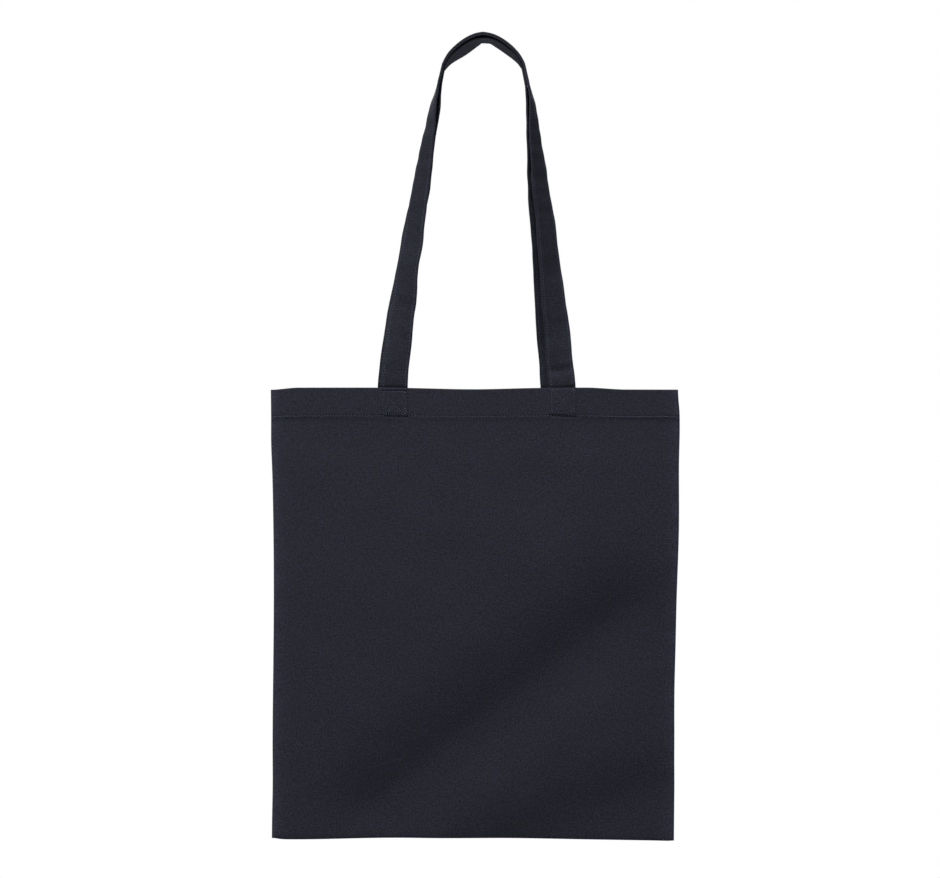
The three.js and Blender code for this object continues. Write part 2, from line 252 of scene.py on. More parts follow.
def soft_step(x, z, start, end, slope, before, after):
    """A soft step down across the line from start to end: its steepest slope is on the line, and it takes
    `before` metres to build up and `after` metres to end. Returns the height over the upper side."""
    start, end = np.array(start), np.array(end)
    length = np.linalg.norm(end - start)
    along = (end - start) / length
    p = (x - start[0]) * along[0] + (z - start[1]) * along[1]
    q = (x - start[0]) * along[1] - (z - start[1]) * along[0]
    fade = smooth((p + 0.05) / 0.10) * smooth((length + 0.05 - p) / 0.10)
    grid = np.linspace(-4 * before, 4 * after, 400)
    shape = np.exp(-0.5 * (grid / np.where(grid < 0, before, after)) ** 2)
    drop = np.cumsum(shape) * (grid[1] - grid[0]) * slope
    return -fade * np.interp(q, grid, drop), fade, q


def sway(x, z):
    """How far the whole bag, both panels together, swings forward of the middle plane."""
    x, z = np.broadcast_arrays(np.asarray(x, float), np.asarray(z, float))
    first, fade, q = soft_step(x, z, (CENTRE_X - 0.132, BOTTOM + 0.021), (CENTRE_X + 0.158, BOTTOM + 0.241),
                               FOLD_SLOPE, 0.032, 0.012)
    rebound = 0.0022 * fade * smooth((q - 0.030) / 0.050)
    second, _, _ = soft_step(x, z, (CENTRE_X - 0.010, BOTTOM - 0.008), (CENTRE_X + 0.190, BOTTOM + 0.070),
                             FOLD_SLOPE * 0.85, 0.020, 0.016)
    down = np.clip(TOP - z - 0.02, 0, None)
    lean = FORWARD_LEAN * down * smooth(down / 0.05)
    return lean + (first + rebound + second) * smooth((TOP - z - 0.035) / 0.10)


def front_relief(x, z):
    return 0.00026 * waves(x, z, 11, 0.110) + 0.00007 * waves(x, z, 12, 0.038)


def back_relief(x, z):
    return 0.0006 * waves(x, z, 21, 0.130) + 0.00010 * waves(x, z, 22, 0.040)


def seam_puckers(u, s, seed):
    """Short ripples where the side and bottom seams draw the cloth in."""
    half = half_width(s)
    side = (1 - np.abs(u)) * half
    low = HEIGHT - s
    ripple = waves(s, u * 0.02, seed, 0.016, 8) * bell(side / 0.007)
    ripple = ripple + waves(u * half, s * 0.1, seed + 1, 0.017, 8) * bell(low / 0.007)
    return 0.00022 * ripple


def box_path(half=BOX_STITCH / 2, per_side=10, per_diagonal=14):
    """Stitch lines of a crossed square, each as hole places (dx, ds) round its middle."""
    corners = [(-half, -half), (half, -half), (half, half), (-half, half)]
    lines = [(corners[i], corners[(i + 1) % 4], per_side) for i in range(4)]
    lines += [(corners[0], corners[2], per_diagonal), (corners[1], corners[3], per_diagonal)]
    return [np.linspace(a, b, count + 1) for a, b, count in lines]


def hem_relief(x, s, handle):
    """The hem stands proud of the cloth below it, sinks along its stitches and bulges over the strap ends."""
    at_hole = np.cos(math.pi * x / STITCH_PITCH) ** 6
    line = s - HEM_STITCH_DROP
    total = HEM_RISE * smooth(s / HEM_STITCH_DROP) * (1 - smooth((line - 0.0004) / 0.0050))
    total = total - STITCH_HOLE * (0.08 + 0.92 * at_hole) * bell(line / 0.0007)
    total = total + 0.00008 * waves(x, s * 0.25, 31, 0.013, 8) * bell(line / 0.007)
    for leg in ("left", "right"):
        dx = x - handle[leg]["x"]
        across = smooth((STRAP_HALF_WIDTH + 0.0010 - np.abs(dx)) / 0.0018)
        end = SEWN_END + 0.0014 + 0.05 * dx
        total = total + STRAP_BULGE * across * (1 - smooth((s - end) / 0.0011))
        crease = smooth((dx + 0.012) / 0.004) * smooth((0.018 - dx) / 0.006)
        total = total - 0.00050 * crease * bell((s - end - 0.0012) / 0.0013)
        total = total - 0.0004 * across * bell((s - BOX_DROP[leg] + BOX_STITCH / 2 + 0.0006) / 0.0006)
        total = total - box_stitch_dip(dx, s - BOX_DROP[leg])
    return total


def box_stitch_dip(dx, ds):
    """How deep the crossed square draws the cloth in: along its lines, and more at each needle hole."""
    deep = np.zeros(dx.shape)
    near = (np.abs(dx) < BOX_STITCH * 0.6) & (np.abs(ds) < BOX_STITCH * 0.6)
    x, s = dx[near], ds[near]
    dip = np.zeros(x.shape)
    for holes in box_path():
        a, b = holes[0], holes[-1]
        along = (b - a) / np.linalg.norm(b - a)
        p = np.clip((x - a[0]) * along[0] + (s - a[1]) * along[1], 0, np.linalg.norm(b - a))
        off = np.hypot(x - a[0] - p * along[0], s - a[1] - p * along[1])
        dip = np.maximum(dip, 0.00020 * bell(off / 0.0008))
        for hole in holes:
            dip = np.maximum(dip, STITCH_HOLE * bell(np.hypot(x - hole[0], s - hole[1]) / 0.00048))
    deep[near] = dip
    return deep


def place_cloth(name, u, s, n):
    """World places of cloth points: u across from -1 to 1, s down from the top edge, n out of the cloth.

    Returns the points, and the same points on the plain panel.
    """
    handle = HANDLES[name]
    u, s, n = np.broadcast_arrays(np.asarray(u, float), np.asarray(s, float), np.asarray(n, float))
    half = half_width(s)
    edge = np.where(u < 0, -side_edge(-1, s), side_edge(1, s)) * np.abs(u) ** 3
    x = CENTRE_X + u * half + edge
    t = np.clip(s / HEIGHT, 0, 1)
    z = TOP - s + top_edge(x) * np.exp(-np.maximum(s, 0) / TOP_EDGE_REACH) + bottom_edge(u) * t ** 6
    relief = (front_relief if name == "front" else back_relief)(x, z)
    margin = smooth((1 - np.abs(u)) * half / 0.05) * smooth((HEIGHT - s) / 0.04)
    hem_calm = 0.25 + 0.75 * smooth((s - 0.02) / 0.06)
    outer = full_depth(u, s) + relief * margin * hem_calm + seam_puckers(u, s, 41 if name == "front" else 51)
    outer = outer + hem_relief(x, s, handle)
    seam = np.minimum((1 - np.abs(u)) * half, HEIGHT - s)
    outer = outer - np.where(u < 0, 0.0012, 0.0008) * np.exp(-seam / 0.0045) * smooth(t / 0.1)
    fold = np.sqrt(np.clip(1 - (1 - np.clip(seam / SEAM_ROUND, 0, 1)) ** 2, 0, 1))
    depth_out = np.maximum(outer * fold + n * fold, 0.00004)
    y = handle["side"] * depth_out - sway(x, z)
    anchor_depth = base_depth(u, np.maximum(s, 0))
    points = np.stack([x, y, z], -1)
    anchors = np.stack([x, handle["side"] * anchor_depth, z], -1)
    return points, anchors


# ---- the panels ----

def shares(name, count):
    """Column places from -1 to 1, closer together at both seams and over the crossed squares."""
    x = np.linspace(-HALF_TOP, HALF_TOP, 4001)
    density = 1 + 1.5 * bell((HALF_TOP - np.abs(x)) / 0.008)
    for leg in ("left", "right"):
        density = density + 1.3 * smooth((0.0145 - np.abs(x + CENTRE_X - HANDLES[name][leg]["x"])) / 0.002)
    place = np.concatenate([[0], np.cumsum((density[1:] + density[:-1]) / 2)])
    return np.interp(np.linspace(0, place[-1], count + 1), place, x) / HALF_TOP


def panel_rows():
    """(s, n, columns) of each row: up the outside, over the fold and down the inside."""
    turn = HEIGHT - SEAM_ROUND * (1 - np.cos(np.linspace(0, math.pi / 2, 6)))
    body = np.concatenate([turn[:-1], np.arange(HEIGHT - SEAM_ROUND, 0.040, -0.0024)])
    middle = np.arange(0.0395, 0.0290, -0.0012)
    hem = np.arange(0.0285, 0.0012, -0.00045)
    outside = [(s, 0.0, FINE_COLUMNS // 4) for s in body]
    outside += [(s, 0.0, FINE_COLUMNS // 2) for s in middle]
    outside += [(s, 0.0, FINE_COLUMNS) for s in hem]
    radius = HEM_THICKNESS / 2
    arc = []
    for angle in np.linspace(0, math.pi, 9):
        arc.append((radius * (1 - math.sin(angle)), radius * (math.cos(angle) - 1), FINE_COLUMNS))
    inside = []
    for s, _, columns in reversed(outside):
        thickness = CLOTH + (HEM_THICKNESS - CLOTH) * (1 - float(smooth((s - HEM_HEIGHT) / 0.0011)))
        inside.append((s, -thickness, columns))
    return outside, arc, inside


def panel(name, material):
    outside, arc, inside = panel_rows()
    rows = outside + arc + inside
    points, anchors, uv, starts = [], [], [], []
    total = 0
    for s, n, columns in rows:
        u = shares(name, FINE_COLUMNS)[::FINE_COLUMNS // columns]
        thin = HEM_THICKNESS_AT_SEAMS / HEM_THICKNESS
        squeeze = 1 - (1 - thin) * smooth((np.abs(u) - 0.90) / 0.08) * (n < -CLOTH * 1.01)
        p, a = place_cloth(name, u, s, n * squeeze)
        points.append(p)
        anchors.append(a)
        wrap = s if n == 0 else -s
        uv.append(np.stack([u * half_width(s), np.full_like(u, wrap)], -1))
        starts.append(total)
        total += len(u)
    faces = []
    for i in range(len(rows) - 1):
        faces += row_faces(starts[i], rows[i][2], starts[i + 1], rows[i + 1][2])
    faces += row_faces(starts[-1], rows[-1][2], starts[0], rows[0][2])
    faces += side_faces(starts, [r[2] for r in rows], len(outside), len(arc))
    piece = mesh_object(f"{name}_cloth", np.concatenate(points), faces, material, np.concatenate(uv))
    return face_outwards(piece), np.concatenate(anchors)


def row_faces(a, n_a, b, n_b):
    """Faces between two rows of n columns each; one row may have twice the other's columns."""
    if n_a == n_b:
        return [(a + j, a + j + 1, b + j + 1, b + j) for j in range(n_a)]
    if n_a == 2 * n_b:
        return [(a + 2 * j, a + 2 * j + 1, a + 2 * j + 2, b + j + 1, b + j) for j in range(n_b)]
    return [(a + j, a + j + 1, b + 2 * j + 2, b + 2 * j + 1, b + 2 * j) for j in range(n_a)]


def side_faces(starts, columns, outside, arc):
    """Closes both side edges: outer row i faces the inner row at the same height."""
    rows = len(starts)
    faces = []
    for right in (False, True):
        def at(i):
            return starts[i] + (columns[i] if right else 0)
        cap = [at(i) for i in range(outside, outside + arc)]
        ring = [at(outside - 1)] + cap + [at(outside + arc)]
        faces.append(tuple(reversed(ring)) if right else tuple(ring))
        for i in range(outside - 1):
            j = rows - 1 - i
            quad = (at(i), at(i + 1), at(j - 1), at(j))
            faces.append(tuple(reversed(quad)) if right else quad)
    return faces


# ---- stitches ----

def stitches(name, runs, material, thread_radius=THREAD_RADIUS):
    """One object of many stitches, and the anchors of its points.

    A run is (holes, outward directions, anchors), in order along its line.
    A stitch lies between each two holes.
    """
    ring, steps = 8, 6
    t = np.linspace(0, 1, steps + 1)
    inset = (1 - STITCH_SHARE) / 2
    share = (inset + t * (1 - 2 * inset))[None, :, None, None]
    swell = np.sin(math.pi * t)                      # a stitch is thickest in its middle
    radius = (thread_radius * (0.4 + 0.6 * swell ** 0.5))[None, :, None, None]
    lift = (thread_radius * (1.7 * swell ** 0.6 - 1.0))[None, :, None, None]
    angle = np.linspace(0, 2 * math.pi, ring, endpoint=False)[None, None, :, None]
    points, bases = [], []
    for holes, outs, anchors in runs:
        step = (holes[1:] - holes[:-1])[:, None, None, :]
        out = outs[1:] + outs[:-1]
        out = (out / np.linalg.norm(out, axis=1)[:, None])[:, None, None, :]
        side = np.cross(out, step)
        side = side / np.linalg.norm(side, axis=-1)[..., None]
        start = holes[:-1][:, None, None, :]
        place = start + step * share + out * (lift + radius * np.sin(angle)) + side * radius * np.cos(angle) * 1.2
        points.append(place.reshape(-1, 3))
        if anchors is not None:
            base = (anchors[1:] + anchors[:-1]) / 2
            bases.append(np.repeat(base, (steps + 1) * ring, axis=0))
    points = np.concatenate(points)
    per_stitch = (steps + 1) * ring
    faces = []
    for first in range(0, len(points), per_stitch):
        for k in range(steps):
            p, q = first + k * ring, first + (k + 1) * ring
            faces += [(p + j, p + (j + 1) % ring, q + (j + 1) % ring, q + j) for j in range(ring)]
        faces.append(tuple(first + j for j in reversed(range(ring))))
        faces.append(tuple(first + steps * ring + j for j in range(ring)))
    count = len(points) // per_stitch
    along = np.tile(np.repeat(t * STITCH_SHARE * STITCH_PITCH, ring), count)
    around = np.tile(np.arange(ring) / ring * 2 * math.pi * thread_radius, count * (steps + 1))
    piece = mesh_object(name, points, faces, material, np.column_stack([along, around]))
    return face_outwards(piece), np.concatenate(bases) if bases else None


def panel_run(name, places, n):
    """A stitch line on a panel from (x, s) places, on its outer face (n = 0) or inside it (n < 0).

    The thread lies at the level of the cloth between its holes, so the depth of a hole is added again.
    """
    places = np.asarray(places)
    x, s = places[:, 0], places[:, 1]
    points, anchors = place_cloth(name, (x - CENTRE_X) / half_width(s), s, n + STITCH_HOLE)
    side = HANDLES[name]["side"] * (1 if n == 0 else -1)
    return points, np.tile((0.0, float(side), 0.0), (len(points), 1)), anchors


def hem_stitches(name, material):
    reach = HALF_TOP - 0.003
    x = np.arange(CENTRE_X - reach, CENTRE_X + reach, STITCH_PITCH)
    x = np.round(x / STITCH_PITCH) * STITCH_PITCH
    line = np.column_stack([x, np.full(len(x), HEM_STITCH_DROP)])
    runs = [panel_run(name, line, 0), panel_run(name, line, -HEM_THICKNESS)]
    return stitches(f"{name}_hem_stitches", runs, material)


def box_stitches(name, leg, material):
    middle = np.array([HANDLES[name][leg]["x"], BOX_DROP[leg]])
    runs = []
    for holes in box_path():
        runs.append(panel_run(name, holes + middle, 0))
        runs.append(panel_run(name, holes + middle, -STRAP_BACK_DEPTH))
    return stitches(f"{name}_{leg}_box_stitches", runs, material)


# ---- handles ----

def handle_line(handle):
    """Centre line of a strap from its left sewn end to its right one, evenly stepped.

    Returns centres, outward directions in the loop's plane, twists and distances along the strap.
    """
    left = leg_line(handle, handle["left"], -1)
    right = leg_line(handle, handle["right"], 1)[::-1]
    pieces = [left, arch_line(handle), right]
    rough = np.concatenate([pieces[0], pieces[1][1:-1], pieces[2]])
    steps = np.linalg.norm(np.diff(rough[:, :3], axis=0), axis=1)
    length = np.concatenate([[0], np.cumsum(steps)])
    count = int(round(length[-1] / STRAP_STEP))
    even = np.linspace(0, length[-1], count + 1)
    return np.stack([np.interp(even, length, rough[:, i]) for i in range(rough.shape[1])], -1), even


def bezier(a, b, c, d, t):
    t = t[:, None]
    return (1 - t) ** 3 * a + 3 * (1 - t) ** 2 * t * b + 3 * (1 - t) * t * t * c + t ** 3 * d


def leg_line(handle, leg, sign):
    """Rows of x, y, z, outward x, outward z and twist, from the sewn end up to the shoulder."""
    lean = math.radians(leg["lean"])
    radius = float(arch_radius(handle, leg, math.pi / 2 - lean))
    shoulder = np.array([sign * radius * math.cos(lean), ARCH_CENTRE_Z + radius * math.sin(lean)])
    down = np.array([sign * math.sin(lean), -math.cos(lean)])
    base = np.array([leg["x"], TOP])
    t = np.linspace(0, 1, 400)
    line = bezier(base, base + (0, leg["upright"]), shoulder + down * leg["straight"], shoulder, t)
    line[:, 0] += sign * leg["bow"] * bell((line[:, 1] + 0.061) / 0.021)
    shift = shoulder_shift(handle, leg, math.pi / 2 - lean)
    line[:, 0] += sign * shift * bell((shoulder[1] - line[:, 1]) / 0.026)
    tangent = np.gradient(line, axis=0)
    tangent /= np.linalg.norm(tangent, axis=1)[:, None]
    tangent[0] = (0, 1)
    deep = STRAP_BASE_DEPTH + (ARCH_OFFSET - STRAP_BASE_DEPTH) * (1 - np.cos(math.pi * t)) / 2
    free = np.column_stack([line[:, 0], handle["side"] * deep, line[:, 1],
                            sign * tangent[:, 1], -sign * tangent[:, 0], twist_at(line[:, 1])])
    depths = np.linspace(-SEWN_END, 0, 40)[:-1]
    slope = (MOUTH_DEPTH - SEAM_DEPTH) / HEIGHT
    sewn = np.column_stack([np.full(39, leg["x"]), handle["side"] * (STRAP_BASE_DEPTH + slope * depths),
                            TOP + depths, np.full(39, float(sign)), np.zeros(39), np.zeros(39)])
    return np.concatenate([sewn, free])


def twist_at(z):
    share = np.clip((z - TOP - TWIST_START) / (TWIST_END - TWIST_START), 0, 1)
    return TWIST_MAX * (share + TWIST_WAVE * np.sin(2 * math.pi * share))


def arch_radius(handle, leg, angle):
    """Arch radius on one leg's side, measured from the top: a circle that widens towards the shoulder."""
    share = np.clip((np.abs(angle) - REST_FLAT_ANGLE) / (math.pi / 2 - REST_FLAT_ANGLE), 0, 1)
    return handle["radius"] + leg["widen"] * np.sin(share * math.pi / 2) ** 4


def shoulder_shift(handle, leg, angle):
    """How far the arch lies outside its plain curve: it sags between top and shoulder."""
    sag = leg["sag"] * np.sin(np.clip(np.abs(angle) / SAG_SPAN, 0, 1) * math.pi)
    return TUCK[handle["side"]] * smooth((np.abs(angle) - math.radians(45)) / math.radians(25)) - sag


def arch_line(handle):
    left, right = handle["left"], handle["right"]
    a = np.linspace(-math.pi / 2 + math.radians(left["lean"]), math.pi / 2 - math.radians(right["lean"]), 300)
    flat = REST_FLAT_ANGLE
    fold = np.where(np.abs(a) < flat, math.cos(flat) / np.cos(np.minimum(np.abs(a), flat)), 1.0)
    fold = fold if handle["side"] > 0 else 1 - 0.011 * bell(a / flat)
    tilt_from = np.radians(np.where(a < 0, left["tilt_from"], right["tilt_from"]))
    share = np.clip((np.abs(a) - tilt_from) / (TILT_END - tilt_from), 0, 1)
    tilt = np.radians(np.where(a < 0, left["tilt"], right["tilt"])) * np.sin(share ** TILT_SKEW * math.pi)
    radius = np.where(a < 0, arch_radius(handle, left, a), arch_radius(handle, right, a))
    shift = np.where(a < 0, shoulder_shift(handle, left, a), shoulder_shift(handle, right, a))
    r = (radius + shift - np.sin(tilt) * STRAP_HALF_WIDTH) * fold
    shoulder = smooth((np.abs(a) - math.radians(58)) / math.radians(18))
    twist = math.pi / 2 + tilt + (TWIST_MAX - math.pi / 2) * shoulder
    depth = np.full(300, handle["side"] * ARCH_OFFSET)
    return np.column_stack([r * np.sin(a), depth, ARCH_CENTRE_Z + r * np.cos(a), np.sin(a), np.cos(a), twist])


STRAP_BASE_DEPTH = abs(sum(c.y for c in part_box("front_handle_left_end")) / 2)


def strap_frame(line):
    """Width and face directions of each station: the width runs outwards at the hem and back at the arch."""
    outward = np.column_stack([line[:, 3], np.zeros(len(line)), line[:, 4]])
    cos, sin = np.cos(line[:, 5])[:, None], np.sin(line[:, 5])[:, None]
    back = np.array([0.0, 1.0, 0.0])
    return outward * cos + back * sin, outward * sin - back * cos


def strap_profile():
    """Ring of (across from -1 to 1, thickness share) round a folded strap with rounded edges."""
    middle = np.linspace(-0.62, 0.62, 13)
    flat = np.concatenate([np.linspace(-0.89, -0.70, 9), middle, np.linspace(0.70, 0.89, 9)])
    edge = np.linspace(math.pi / 2, -math.pi / 2, 9)
    right = [(0.89 + 0.11 * math.cos(a), math.sin(a)) for a in edge[1:-1]]
    left = [(-0.89 - 0.11 * math.cos(a), -math.sin(a)) for a in edge[1:-1]]
    return [(v, 1.0) for v in flat] + right + [(v, -1.0) for v in flat[::-1]] + left


def strap_dents(name, v, z, x):
    """Soft bends across a strap, in metres along its face direction."""
    h = z - TOP
    dents = {
        ("front", 1): [(0.0175, 0.0011, 0.0042, 0.10), (0.060, 0.0003, 0.010, -0.3), (0.112, 0.0004, 0.012, 0.2)],
        ("front", -1): [(0.040, 0.0005, 0.006, 0.25), (0.075, 0.0003, 0.010, -0.2), (0.140, 0.0004, 0.014, 0.3)],
        ("back", 1): [(0.055, 0.0006, 0.012, 0.2), (0.150, 0.0005, 0.016, -0.2)],
        ("back", -1): [(0.045, 0.0006, 0.012, -0.2), (0.130, 0.0005, 0.016, 0.2)],
    }
    total = -0.0011 * bell(h / 0.0021)
    for sign in (-1, 1):
        on_leg = np.where(np.sign(x) == sign, 1.0, 0.0)
        for height, size, reach, slant in dents[(name, sign)]:
            centre = height + 0.006 * slant * v + 0.0015 * v * v
            total = total - on_leg * size * bell((h - centre) / reach) * (1 - 0.35 * v * v)
    return total


def strap_point(name, line, along, v, lift):
    """World points on a strap. v is across from -1 (inner edge of the legs) to 1, lift is along the face."""
    width, face = strap_frame(line)
    ripple = 0.00016 * waves(along * np.ones_like(v), v * 0.004, 61 if name == "front" else 62, 0.020, 10)
    gentle = 0.00035 * waves(along * np.ones_like(v), v * 0.003, 63 if name == "front" else 64, 0.070, 10)
    free = smooth((line[:, 2] - TOP - 0.004) / 0.02)
    near_top = 1 - 0.75 * smooth((line[:, 2] + 0.06) / 0.03)
    offset = (ripple + gentle) * (free * near_top) + strap_dents(name, v, line[:, 2], line[:, 0])
    drift = 0.00025 * waves(along, 0 * along, 65 if name == "front" else 66, 0.045, 8) * free * near_top
    across = v * STRAP_HALF_WIDTH + drift
    return line[:, :3] + width * across[:, None] + face * (lift + offset)[:, None]


def strap_half(v, along):
    """Half thickness of a strap: it sinks along both stitch lines, most at the stitch holes."""
    stitch = 1 - STRAP_EDGE_STITCH / STRAP_HALF_WIDTH
    dip = bell((np.abs(v) - stitch) / 0.050)
    scallop = 0.00006 * np.cos(2 * math.pi * along / STITCH_PITCH)
    return STRAP_HALF_THICKNESS - dip * (0.00026 + scallop) + 0.00005 * bell(v / 0.5)


def strap(name, material):
    handle = HANDLES[name]
    line, along = handle_line(handle)
    ring = strap_profile()
    columns = []
    for v, side in ring:
        v_array = np.full(len(line), v)
        columns.append(strap_point(name, line, along, v_array, side * strap_half(v_array, along)))
    points = np.stack(columns, 1)
    rows, count = points.shape[:2]
    faces = []
    for i in range(rows - 1):
        for j in range(count):
            k = (j + 1) % count
            faces.append((i * count + j, i * count + k, (i + 1) * count + k, (i + 1) * count + j))
    faces.append(tuple(range(count)))
    faces.append(tuple((rows - 1) * count + j for j in reversed(range(count))))
    across = np.array([v * STRAP_HALF_WIDTH + (1 - side) * BACK_PATTERN_SHIFT / 2 for v, side in ring])
    uv = np.stack(np.broadcast_arrays(across[None, :], along[:, None]), -1).reshape(-1, 2)
    piece = mesh_object(f"{name}_strap", points.reshape(-1, 3), faces, material, uv)
    return face_outwards(piece)


def strap_stitches(name, edge, material):
    """Both faces' stitches along one edge of a strap's free length."""
    line, along = handle_line(HANDLES[name])
    holes_at = np.arange(SEWN_END + 0.002, along[-1] - SEWN_END - 0.002, STITCH_PITCH)
    at = np.stack([np.interp(holes_at, along, line[:, i]) for i in range(line.shape[1])], -1)
    v = np.full(len(holes_at), edge * (1 - STRAP_EDGE_STITCH / STRAP_HALF_WIDTH))
    _, face = strap_frame(at)
    runs = []
    for side in (1, -1):
        holes = strap_point(name, at, holes_at, v, side * strap_half(v, holes_at))
        runs.append((holes, face * side, None))
    word = "inner" if edge < 0 else "outer"
    piece, _ = stitches(f"{name}_strap_{word}_stitches", runs, material, STRAP_THREAD_RADIUS)
    return piece


# ---- seams inside ----

def seam_place(seam, along, inward, out):
    """World place in a seam allowance: along it, inward from the bag's edge and out of the middle plane."""
    along, inward, out = np.broadcast_arrays(np.asarray(along, float), inward, out)
    if seam == "bottom":
        u = (along - CENTRE_X) / HALF_BOTTOM
        z = BOTTOM + bottom_edge(u) + inward
        return np.stack([along, out - sway(along, z), z], -1)
    sign = -1 if seam == "left" else 1
    x = CENTRE_X + sign * (half_width(along) + side_edge(sign, along) - inward)
    z = TOP - along + top_edge(x) * np.exp(-along / TOP_EDGE_REACH)
    return np.stack([x, out - sway(x, z), z], -1)


def seam_sway(seam, along, inward):
    seed = {"left": 71, "right": 72, "bottom": 73}[seam]
    return 0.00016 * waves(along, inward * 0.3, seed, 0.03, 8) * smooth(inward / 0.004)


def seam_reach(seam):
    """First and last place along a seam."""
    if seam == "bottom":
        return CENTRE_X - HALF_BOTTOM + 0.0015, CENTRE_X + HALF_BOTTOM - 0.0015
    return 0.0012, HEIGHT - SEAM_WIDTH - 0.0006


def seam_layers(seam, material):
    """Two raw-edged layers of cloth lying on each other."""
    first, last = seam_reach(seam)
    along = np.linspace(first, last, int((last - first) / 0.002) + 1)
    points, faces, uv = [], [], []
    for sign in (-1, 1):
        middle = sign * (SEAM_LAYER / 2 + 0.00003)
        profile = [(0.0008, -1), (0.004, -1), (0.008, -1), (SEAM_WIDTH, -1),
                   (SEAM_WIDTH, 1), (0.008, 1), (0.004, 1), (0.0008, 1)]
        base = len(points)
        for a in along:
            for inward, half in profile:
                fray = 0.0003 * math.sin(a * 2100 + sign) * (inward == SEAM_WIDTH)
                out = middle + half * SEAM_LAYER / 2 + float(seam_sway(seam, a, inward))
                points.append(seam_place(seam, a, inward + fray, out))
                uv.append((inward, a + sign * 0.4))
        count = len(profile)
        for i in range(len(along) - 1):
            for j in range(count):
                p, q = base + i * count, base + (i + 1) * count
                k = (j + 1) % count
                faces.append((p + j, p + k, q + k, q + j))
        faces.append(tuple(base + j for j in reversed(range(count))))
        faces.append(tuple(base + (len(along) - 1) * count + j for j in range(count)))
    piece = mesh_object(f"{seam}_seam_layers", points, faces, material, uv)
    return face_outwards(piece)


def overlock(seam, material):
    """One looped thread round the raw edges: down one face, round the edge, up the other face."""
    first, last = seam_reach(seam)
    low = SEAM_WIDTH + 0.006
    first = first + (low if seam == "bottom" else 0.0)
    last = last - low
    face = SEAM_LAYER + OVERLOCK_RADIUS + 0.00005
    loop = [(0.00, OVERLOCK_REACH, 1), (0.10, 0.0028, 1.05), (0.20, 0.0012, 1.05), (0.30, 0.0001, 0.9),
            (0.35, -0.0004, 0.0), (0.40, 0.0001, -0.9), (0.50, 0.0012, -1.05), (0.60, 0.0028, -1.05),
            (0.70, OVERLOCK_REACH, -1), (0.74, OVERLOCK_REACH + 0.0002, 0), (0.78, OVERLOCK_REACH, 1),
            (0.89, OVERLOCK_REACH, 1.1)]
    count = int((last - first) / OVERLOCK_PITCH)
    path = []
    for i in range(count):
        for share, from_edge, out in loop:
            a = first + (i + share) * OVERLOCK_PITCH
            inward = SEAM_WIDTH - from_edge
            path.append(seam_place(seam, a, inward, out * face + float(seam_sway(seam, a, inward))))
    return tube(f"{seam}_overlock_loops", np.array(path), OVERLOCK_RADIUS, material)


def tube(name, path, radius, material, ring=6):
    tangent = np.gradient(path, axis=0)
    tangent /= np.linalg.norm(tangent, axis=1)[:, None]
    run = path[-1] - path[0]
    run = run / np.linalg.norm(run)
    side = np.cross(tangent, run + 0.001)
    side /= np.linalg.norm(side, axis=1)[:, None]
    other = np.cross(tangent, side)
    angle = np.linspace(0, 2 * math.pi, ring, endpoint=False)[None, :, None]
    around = side[:, None, :] * np.cos(angle) + other[:, None, :] * np.sin(angle)
    points = path[:, None, :] + radius * around
    faces = []
    for i in range(len(path) - 1):
        p, q = i * ring, (i + 1) * ring
        faces += [(p + j, p + (j + 1) % ring, q + (j + 1) % ring, q + j) for j in range(ring)]
    faces.append(tuple(reversed(range(ring))))
    faces.append(tuple((len(path) - 1) * ring + j for j in range(ring)))
    length = np.concatenate([[0], np.cumsum(np.linalg.norm(np.diff(path, axis=0), axis=1))])
    uv = np.column_stack([np.repeat(length, ring), np.tile(np.arange(ring) * radius, len(path))])
    piece = mesh_object(name, points.reshape(-1, 3), faces, material, uv)
    return face_outwards(piece)


# ---- materials ----

class Nodes:
    """Short way to build a node tree: each call adds one node and links its inputs."""

    def __init__(self, name):
        self.material = bpy.data.materials.new(name)
        self.material.use_nodes = True
        self.tree = self.material.node_tree
        self.tree.nodes.clear()

    def add(self, kind, inputs=None, **settings):
        node = self.tree.nodes.new("ShaderNode" + kind)
        for key, value in settings.items():
            setattr(node, key, value)
        for key, value in (inputs or {}).items():
            self.set(node.inputs[key], value)
        return node

    def set(self, socket, value):
        if isinstance(value, bpy.types.NodeSocket):
            self.tree.links.new(value, socket)
        else:
            socket.default_value = value

    def math(self, operation, a, b=0.0, c=0.0):
        return self.add("Math", {0: a, 1: b, 2: c}, operation=operation).outputs[0]

    def noise(self, vector, scale, detail=2.0, roughness=0.5):
        inputs = {"Vector": vector, "Scale": scale, "Detail": detail, "Roughness": roughness}
        return self.add("TexNoise", inputs).outputs["Fac"]

    def stretched(self, vector, x, y, offset=0.0):
        mapping = self.add("Mapping", {"Vector": vector, "Scale": (x, y, 1), "Location": (offset, offset, 0)})
        return mapping.outputs[0]


def panel_edge(n, uv):
    """Distance to the nearest side edge of a panel, from its own map: across, and down from the top edge."""
    parts = n.add("SeparateXYZ", {0: uv})
    across = n.math("ABSOLUTE", parts.outputs[0])
    narrowing = (HALF_TOP - HALF_BOTTOM) / HEIGHT
    half = n.math("MULTIPLY_ADD", n.math("ABSOLUTE", parts.outputs[1]), -narrowing, HALF_TOP)
    return n.math("MAXIMUM", n.math("SUBTRACT", half, across), 0.0)


def strap_edge(n, uv):
    """Distance to the nearest edge of a strap, on either face."""
    half_shift = BACK_PATTERN_SHIFT / 2
    across = n.math("ADD", n.add("SeparateXYZ", {0: uv}).outputs[0], half_shift)
    folded = n.math("SUBTRACT", n.math("FLOORED_MODULO", across, BACK_PATTERN_SHIFT), half_shift)
    return n.math("MAXIMUM", n.math("SUBTRACT", STRAP_HALF_WIDTH, n.math("ABSOLUTE", folded)), 0.0)


